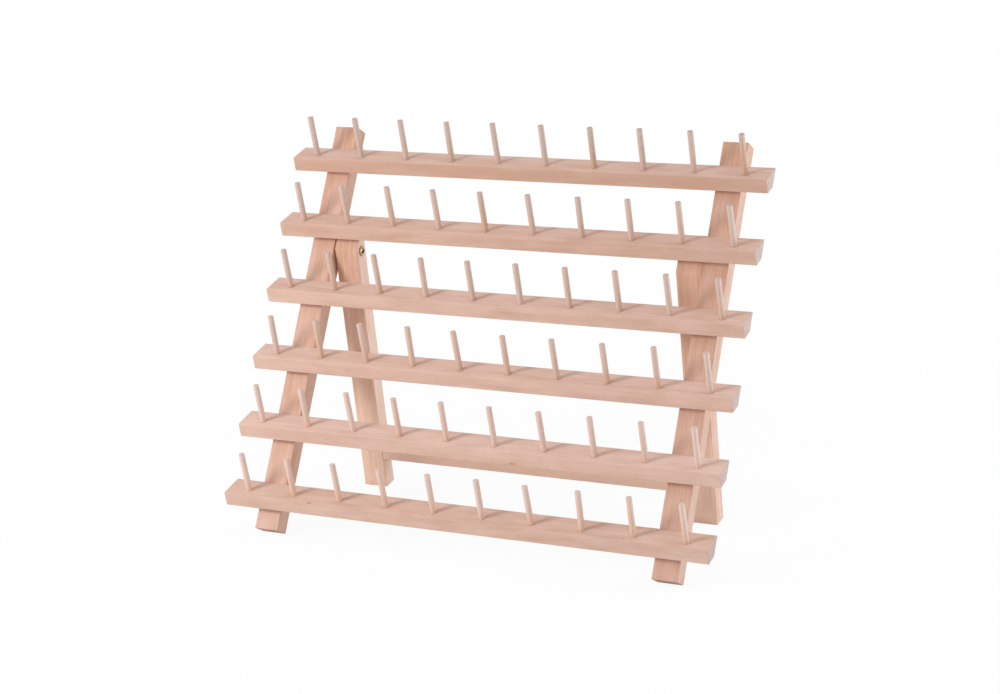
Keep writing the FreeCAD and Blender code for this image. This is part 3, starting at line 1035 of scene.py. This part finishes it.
def countersink(screws, depth):
    """Profile of a countersunk hole: a worn edge, the sink, a cone like the head's and a bore."""
    head = screws.head_radius + screws.hole_gap
    shank = screws.radius + screws.hole_gap
    cone = screws.sink + head - shank
    return [(head + screws.hole_edge, 0), (head, screws.hole_edge), (head, screws.sink), (shank, cone),
            (shank, depth), (0, depth)]


def front_leg_parts(settings, side, random):
    """A front leg's skin, with the rail screws' countersinks in its back."""
    bar = front_leg_bar(settings, side)
    thick = settings.bars.leg_thickness
    profile = countersink(settings.screws, thick * BLIND_SHARE)
    heads = (rail_screw_heads(settings, side) - bar.origin) @ bar.axes.T
    centres = [np.array((head[0], head[1], thick)) for head in heads[::-1]]
    cells = [cell_stations(centre[0], SCREW_CELL) for centre in centres]
    holes = [Hole(LEG_BACK, centre, cell, profile) for centre, cell in zip(centres, cells)]
    # Each face's depth paints light and shade on it.
    depths = getattr(settings.beech, f"{side}_front")
    return [bar_part(bar, settings, cells, holes, random, depths, drift=settings.beech.front_drift)]


def rear_leg_parts(settings, side, random):
    """A rear leg's skin: bored for the pivot, countersunk outside and mitred to lie on a rail's back."""
    bar, drop = rear_leg_bar(settings, side)
    screws = settings.screws
    slope = math.tan(fold_spread())
    half = settings.bars.leg_thickness / 2
    easing = settings.bars.easing
    tip = bar.length - easing
    bend_at = tip - (2 * half - settings.bars.mitre_tip) / slope

    def mitred(along, first, second):
        """Shrinks a line along the leg, so that its top lies on the mitre or on the flat at its tip."""
        top = np.minimum(tip, bend_at + (second + half) / slope)
        return straight(easing + (along - easing) * (top - easing) / (tip - easing), first, second)

    bore = screws.pivot_radius + screws.running_gap
    width = bar.corners[1][0] - bar.corners[0][0]
    head = (crossbar_screw_head(settings, side) - bar.origin) @ bar.axes.T
    low_cell = cell_stations(head[0], SCREW_CELL)
    high_cell = np.linspace(*np.multiply(bar.length, PIVOT_CELL), CELL_STEPS + 1)
    outer = np.array((head[0], SIDES[side] * width / 2, head[2]))
    holes = [Hole(LEG_RIGHT, np.array((drop, width / 2, 0)), high_cell, [(bore, 0), (bore, width)]),
             Hole(LEG_LEFT, np.array((drop, -width / 2, 0)), high_cell, [(bore, 0)]),
             Hole(OUTER_FACES[side], outer, low_cell, countersink(screws, width * BLIND_SHARE))]
    # Each face's depth paints light and shade on it.
    depths = getattr(settings.beech, f"{side}_rear")
    # The rear drift deepens each rear leg upwards as painted shade.
    return [bar_part(bar, settings, [low_cell, high_cell], holes, random, depths,
                     drift=settings.beech.rear_shade_drift, bend=mitred, top_sawn=0.0)]


def crossbar_parts(settings, random):
    """The crossbar's skin."""
    # Each face's depth paints light and shade on it, the front painted paler as if lit.
    return [bar_part(crossbar_bar(settings), settings, [], [], random, settings.beech.crossbar)]


def recess_depth(first, second, span, screws):
    """Depth of a cross recess: the deeper of two crossed wings.

    A wing's floor rises with the square of the distance from the middle, to half its depth at the wing's
    end, and its walls slope over a fifth of the wing's width.
    """
    wall = screws.recess_width * RECESS_WALL

    def wing(lengthwise, crosswise):
        floor = screws.recess_depth * (1 - RECESS_RISE * (2 * lengthwise / span) ** 2)
        sides = np.clip((screws.recess_width / 2 - np.abs(crosswise)) / wall + 0.5, 0, 1)
        ends = np.clip((span / 2 - np.abs(lengthwise)) / wall + 0.5, 0, 1)
        return floor * sides * ends

    return np.maximum(wing(first, second), wing(second, first))


def screw_patch(top_radius, top_height, body_radius, body_height, span, screws, steps):
    """A screw turned about its axis: the head's top with a cross recess let into it, then the body.

    Along the axis, out of the head counts as positive.
    """
    turn = np.linspace(0, 2 * math.pi, steps + 1)
    first = top_radius[:, None] * np.cos(turn)
    second = top_radius[:, None] * np.sin(turn)
    sunk = recess_depth(first, second, span, screws)
    top = np.stack([top_height[:, None] - sunk, first, second], axis=-1)
    body = turned_patch(body_radius, body_height, steps)
    points = np.concatenate([top, body.points])
    inside = np.concatenate([sunk / screws.recess_depth, body.end])
    return patch(points, 0.0, inside)


def pivot_screw_parts(settings, side, random):
    """The round-head screw that a rear leg swings on: a ball's cap for a head, a shank and a point."""
    screws = settings.screws
    sign = SIDES[side]
    low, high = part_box(f"{side}_rear_leg")
    inner = min(abs(low.x), abs(high.x)) - screws.head_play
    low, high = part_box(f"{side}_pivot_screw")
    reach = max(abs(low.x), abs(high.x)) - inner
    head = screws.pivot_head_radius
    crown = screws.pivot_head_height
    ball = (head ** 2 + crown ** 2) / (2 * crown)
    top_radius = head * np.linspace(0, PIVOT_HEAD.reach, PIVOT_HEAD.rings)
    top_height = np.sqrt(ball ** 2 - top_radius ** 2) - (ball - crown)
    shank = screws.pivot_radius
    body_radius = np.array((head, head * PIVOT_HEAD.reach, shank, shank, shank, 0))
    body_height = np.array((PIVOT_HEAD.edge, 0, 0, -reach / 2, screws.point - reach, -reach))
    skin = screw_patch(top_radius, top_height, body_radius, body_height, screws.pivot_recess, screws,
                       PIVOT_HEAD.sides)
    pivot = fold["pos_m"]
    out = -sign * X_AXIS
    roll = random.uniform(*PIVOT_ROLLS)
    first = np.array((0, math.cos(roll), math.sin(roll)))
    origin = np.array((sign * inner, pivot[1], pivot[2]))
    return [Part([skin], origin, turned_axes(out, first), np.eye(3), np.zeros(3))]


def countersunk_parts(screws, heads, out, reach, random):
    """Countersunk screws of one length: a flat head with a cross recess, a cone, a shank and a point."""
    head = screws.head_radius
    shank = screws.radius
    top_radius = head * np.linspace(0, FLAT_HEAD.reach, FLAT_HEAD.rings)
    body_radius = np.array((head, shank, shank, 0))
    body_height = np.array((-FLAT_HEAD.edge, shank - head, screws.point - reach, -reach))
    skin = screw_patch(top_radius, 0 * top_radius, body_radius, body_height, screws.recess, screws,
                       FLAT_HEAD.sides)
    across = unit(np.cross(out, ASKEW))
    parts = []
    for place in heads:
        roll = random.uniform(0, math.pi / 2)
        first = math.cos(roll) * across + math.sin(roll) * np.cross(out, across)
        shift = np.array((random.uniform(0, SCREW_SHIFT), 0, 0))
        parts.append(Part([skin], place, turned_axes(out, first), np.eye(3), shift))
    return parts


def rail_screw_parts(settings, side, random):
    """The screws that hold the rails to a front leg from behind."""
    screws = settings.screws
    _, leg_back = front_directions()
    reach = settings.bars.leg_thickness - screws.sink + screws.rail_bite
    return countersunk_parts(screws, rail_screw_heads(settings, side), leg_back, reach, random)


def crossbar_screw_parts(settings, side, random):
    """The screw through a rear leg into an end of the crossbar."""
    screws = settings.screws
    low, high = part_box(f"{side}_rear_leg")
    reach = high.x - low.x - screws.sink + screws.crossbar_bite
    heads = [crossbar_screw_head(settings, side)]
    return countersunk_parts(screws, heads, SIDES[side] * X_AXIS, reach, random)


# Operators

def rack_settings(context):
    """The scene's settings for the rack."""
    return context.scene.thread_rack


class RACK_OT_rails(bpy.types.Operator):
    """Make the six beech rails with their peg holes"""

    bl_idname = "rack.rails"
    bl_label = "Rails"

    def execute(self, context):
        settings = rack_settings(context)
        random = np.random.default_rng(settings.beech.seed)
        beech = settings.beech
        knots = [knot_place(settings, knot) for knot in KNOTS]
        finish = beech_finish("beech_of_rails", beech, "rail", beech.end, knots=knots)
        for row in rows:
            parts = rail_parts(settings, row, random)
            make_piece("beech", f"rail_{row}", parts, finish, "front_frame")
        return {"FINISHED"}


class RACK_OT_pegs(bpy.types.Operator):
    """Make the sixty pegs, a row to a piece"""

    bl_idname = "rack.pegs"
    bl_label = "Pegs"

    def execute(self, context):
        settings = rack_settings(context)
        random = np.random.default_rng(settings.pegs.seed)
        beech = settings.beech
        # Each row's pegs get their own finish, scaled lighter or darker: painted light that falls off towards the
        # top rows.
        for row, light in zip(rows, beech.peg_painted_light):
            node = f"rail_{row}_pegs"
            finish = beech_finish(f"beech_of_{node}", beech, "peg", beech.peg_end, light)
            parts = peg_parts(settings, row, random)
            make_piece("beech", node, parts, finish, "front_frame")
        return {"FINISHED"}


class RACK_OT_front_legs(bpy.types.Operator):
    """Make the two front legs with their countersinks"""

    bl_idname = "rack.front_legs"
    bl_label = "Front legs"

    def execute(self, context):
        settings = rack_settings(context)
        random = np.random.default_rng(settings.beech.seed + 1)
        beech = settings.beech
        finish = beech_finish("beech_of_front_legs", beech, "front", beech.end)
        for side in SIDES:
            parts = front_leg_parts(settings, side, random)
            make_piece("beech", f"{side}_front_leg", parts, finish, "front_frame")
        return {"FINISHED"}


class RACK_OT_rear_frame(bpy.types.Operator):
    """Make the two swinging rear legs and the crossbar between them"""

    bl_idname = "rack.rear_frame"
    bl_label = "Rear frame"

    def execute(self, context):
        settings = rack_settings(context)
        random = np.random.default_rng(settings.beech.seed + 2)
        beech = settings.beech
        finish = beech_finish("beech_of_rear_frame", beech, "rear", beech.end)
        for side in SIDES:
            parts = rear_leg_parts(settings, side, random)
            make_piece("beech", f"{side}_rear_leg", parts, finish, "rear_frame")
        parts = crossbar_parts(settings, random)
        make_piece("beech", "crossbar", parts, finish, "rear_frame")
        return {"FINISHED"}


class RACK_OT_pivot_screws(bpy.types.Operator):
    """Make the two brass screws that the rear legs swing on"""

    bl_idname = "rack.pivot_screws"
    bl_label = "Pivot screws"

    def execute(self, context):
        settings = rack_settings(context)
        random = np.random.default_rng(settings.screws.seed)
        metal = settings.metal
        finish = metal_finish("plated_brass", metal.brass, metal.tarnish, metal.recess_shade,
                              metal.brass_roughness)
        for side in SIDES:
            parts = pivot_screw_parts(settings, side, random)
            make_piece("brass", f"{side}_pivot_screw", parts, finish, "front_frame")
        return {"FINISHED"}


class RACK_OT_countersunk_screws(bpy.types.Operator):
    """Make the countersunk screws that hold the rails and the crossbar"""

    bl_idname = "rack.countersunk_screws"
    bl_label = "Countersunk screws"

    def execute(self, context):
        settings = rack_settings(context)
        random = np.random.default_rng(settings.screws.seed + 1)
        metal = settings.metal
        finish = metal_finish("plated_zinc", metal.zinc, metal.dull_zinc, metal.recess_shade,
                              metal.zinc_roughness)
        for side in SIDES:
            parts = rail_screw_parts(settings, side, random)
            make_piece("zinc", f"{side}_rail_screws", parts, finish, "front_frame")
            parts = crossbar_screw_parts(settings, side, random)
            make_piece("zinc", f"{side}_crossbar_screw", parts, finish, "rear_frame")
        return {"FINISHED"}


Lamp = namedtuple("Lamp", "name direction distance width height colour")

LAMPS = (Lamp("key_lamp", (-0.576, -0.725, 0.377), 1.6, 0.45, 0.45, (1.0, 1.0, 1.0)),
         Lamp("fill_lamp", (0.95, 0.28, 0.05), 1.0, 0.4, 0.8, (0.68, 0.86, 1.0)),
         Lamp("top_lamp", (0.1, -0.2, 1.0), 1.2, 1.0, 1.0, (1.0, 1.0, 1.0)))
CAMERA_REACH = 100.0
FLOOR_HALF = 30.0


class RACK_OT_stage(bpy.types.Operator):
    """Set the camera, the lamps, the floor and the light all round"""

    bl_idname = "rack.stage"
    bl_label = "Stage"

    def execute(self, context):
        stage = rack_settings(context).stage
        context.scene.view_settings.view_transform = "Standard"
        add_camera(context.scene, stage)
        middle = (cad_low + cad_high) / 2
        for lamp, power in zip(LAMPS, (stage.key_power, stage.fill_power, stage.top_power)):
            add_lamp(lamp, middle, power)
        add_floor(stage)
        light_all_round(context.scene, stage)
        return {"FINISHED"}


def add_camera(scene, stage):
    """A camera turned to its azimuth, then down by its elevation, then rolled about its own axis."""
    data = bpy.data.cameras.new("camera")
    data.lens = stage.lens
    data.clip_end = CAMERA_REACH
    camera = bpy.data.objects.new("camera", data)
    look = (Matrix.Rotation(stage.azimuth, 3, "Z") @ Matrix.Rotation(math.pi / 2 - stage.elevation, 3, "X")
            @ Matrix.Rotation(stage.roll, 3, "Z"))
    camera.matrix_world = Matrix.LocRotScale(Vector(stage.camera), look, None)
    scene.collection.objects.link(camera)
    scene.camera = camera


def add_lamp(lamp, middle, power):
    """An oblong soft lamp at a distance in a direction from the rack's middle, facing it."""
    data = bpy.data.lights.new(lamp.name, "AREA")
    data.shape = "RECTANGLE"
    data.size = lamp.width
    data.size_y = lamp.height
    data.color = lamp.colour
    data.energy = power
    piece = bpy.data.objects.new(lamp.name, data)
    toward = Vector(lamp.direction).normalized()
    turn = toward.to_track_quat("Z", "Y")
    piece.matrix_world = Matrix.LocRotScale(middle + toward * lamp.distance, turn, None)
    piece.visible_camera = False
    bpy.context.scene.collection.objects.link(piece)


def seen_rays(finish):
    """One where the camera, a reflection or a view through something looks straight at a surface."""
    kinds = ("Is Camera Ray", "Is Glossy Ray", "Is Transmission Ray")
    straight, glossy, through = (finish.node("ShaderNodeLightPath", output=kind) for kind in kinds)
    return finish.math("MAXIMUM", finish.math("MAXIMUM", straight, glossy), through)


def add_floor(stage):
    """A wide pale sheet under the rack that shows nearly white and keeps the rack's shadow."""
    corners = [(first, second, 0) for first, second in oblong(FLOOR_HALF, FLOOR_HALF)]
    mesh = bpy.data.meshes.new("floor")
    mesh.from_pydata(corners, [], [(0, 1, 2, 3)])
    finish = Finish(bpy.data.materials.new("paper_floor"))
    paper = finish.node("ShaderNodeBsdfDiffuse", None, {"Color": stage.floor})
    white = finish.node("ShaderNodeEmission", None, {"Color": (1, 1, 1), "Strength": 1.0})
    away = finish.size(finish.node("ShaderNodeTexCoord", output="Object"))
    far = finish.step(away, stage.floor_near, stage.floor_far)
    most = stage.floor_white + far * (1 - stage.floor_white)
    both = finish.node("ShaderNodeMixShader", None,
                       {"Fac": seen_rays(finish) * most, "Shader": paper, "Shader_001": white})
    finish.node("ShaderNodeOutputMaterial", None, {"Surface": both})
    mesh.materials.append(finish.owner)
    floor = bpy.data.objects.new("floor", mesh)
    bpy.context.scene.collection.objects.link(floor)


def light_all_round(scene, stage):
    """White where it is seen, and an even dimmer light on the rack."""
    scene.world = bpy.data.worlds.new("studio")
    finish = Finish(scene.world)
    even = finish.node("ShaderNodeBackground", None, {"Color": (1, 1, 1), "Strength": stage.ambient})
    white = finish.node("ShaderNodeBackground", None, {"Color": (1, 1, 1), "Strength": 1.0})
    both = finish.node("ShaderNodeMixShader", None,
                       {"Fac": seen_rays(finish), "Shader": even, "Shader_001": white})
    finish.node("ShaderNodeOutputWorld", None, {"Surface": both})


class RACK_PT_panel(bpy.types.Panel):
    """Lists the rack's settings and the steps that make it"""

    bl_idname = "RACK_PT_panel"
    bl_label = "Thread Rack"
    bl_space_type = "VIEW_3D"
    bl_region_type = "UI"
    bl_category = "Thread Rack"

    def draw(self, context):
        settings = rack_settings(context)
        for group in settings.bl_rna.properties.keys():
            part = getattr(settings, group)
            if isinstance(part, bpy.types.PropertyGroup):
                box = self.layout.box()
                box.label(text=settings.bl_rna.properties[group].name)
                for key in type(part).__annotations__:
                    box.prop(part, key)
        for operator in OPERATORS:
            self.layout.operator(operator.bl_idname)


GROUPS = (BarSettings, PegSettings, ScrewSettings, BeechSettings, MetalSettings, StageSettings,
          RackSettings)
OPERATORS = (RACK_OT_rails, RACK_OT_pegs, RACK_OT_front_legs, RACK_OT_rear_frame, RACK_OT_pivot_screws,
             RACK_OT_countersunk_screws, RACK_OT_stage)
CLASSES = (*GROUPS, *OPERATORS, RACK_PT_panel)


def register():
    """Registers the classes and hangs the settings on the scene."""
    for kind in CLASSES:
        bpy.utils.register_class(kind)
    bpy.types.Scene.thread_rack = PointerProperty(type=RackSettings)


def unregister():
    """Takes the settings and the classes away again."""
    del bpy.types.Scene.thread_rack
    for kind in reversed(CLASSES):
        bpy.utils.unregister_class(kind)


def main():
    """Builds the rack piece by piece."""
    register()
    bpy.ops.rack.rails()
    bpy.ops.rack.pegs()
    bpy.ops.rack.front_legs()
    bpy.ops.rack.rear_frame()
    bpy.ops.rack.pivot_screws()
    bpy.ops.rack.countersunk_screws()
    bpy.ops.rack.stage()


if __name__ == "__main__":
    main()
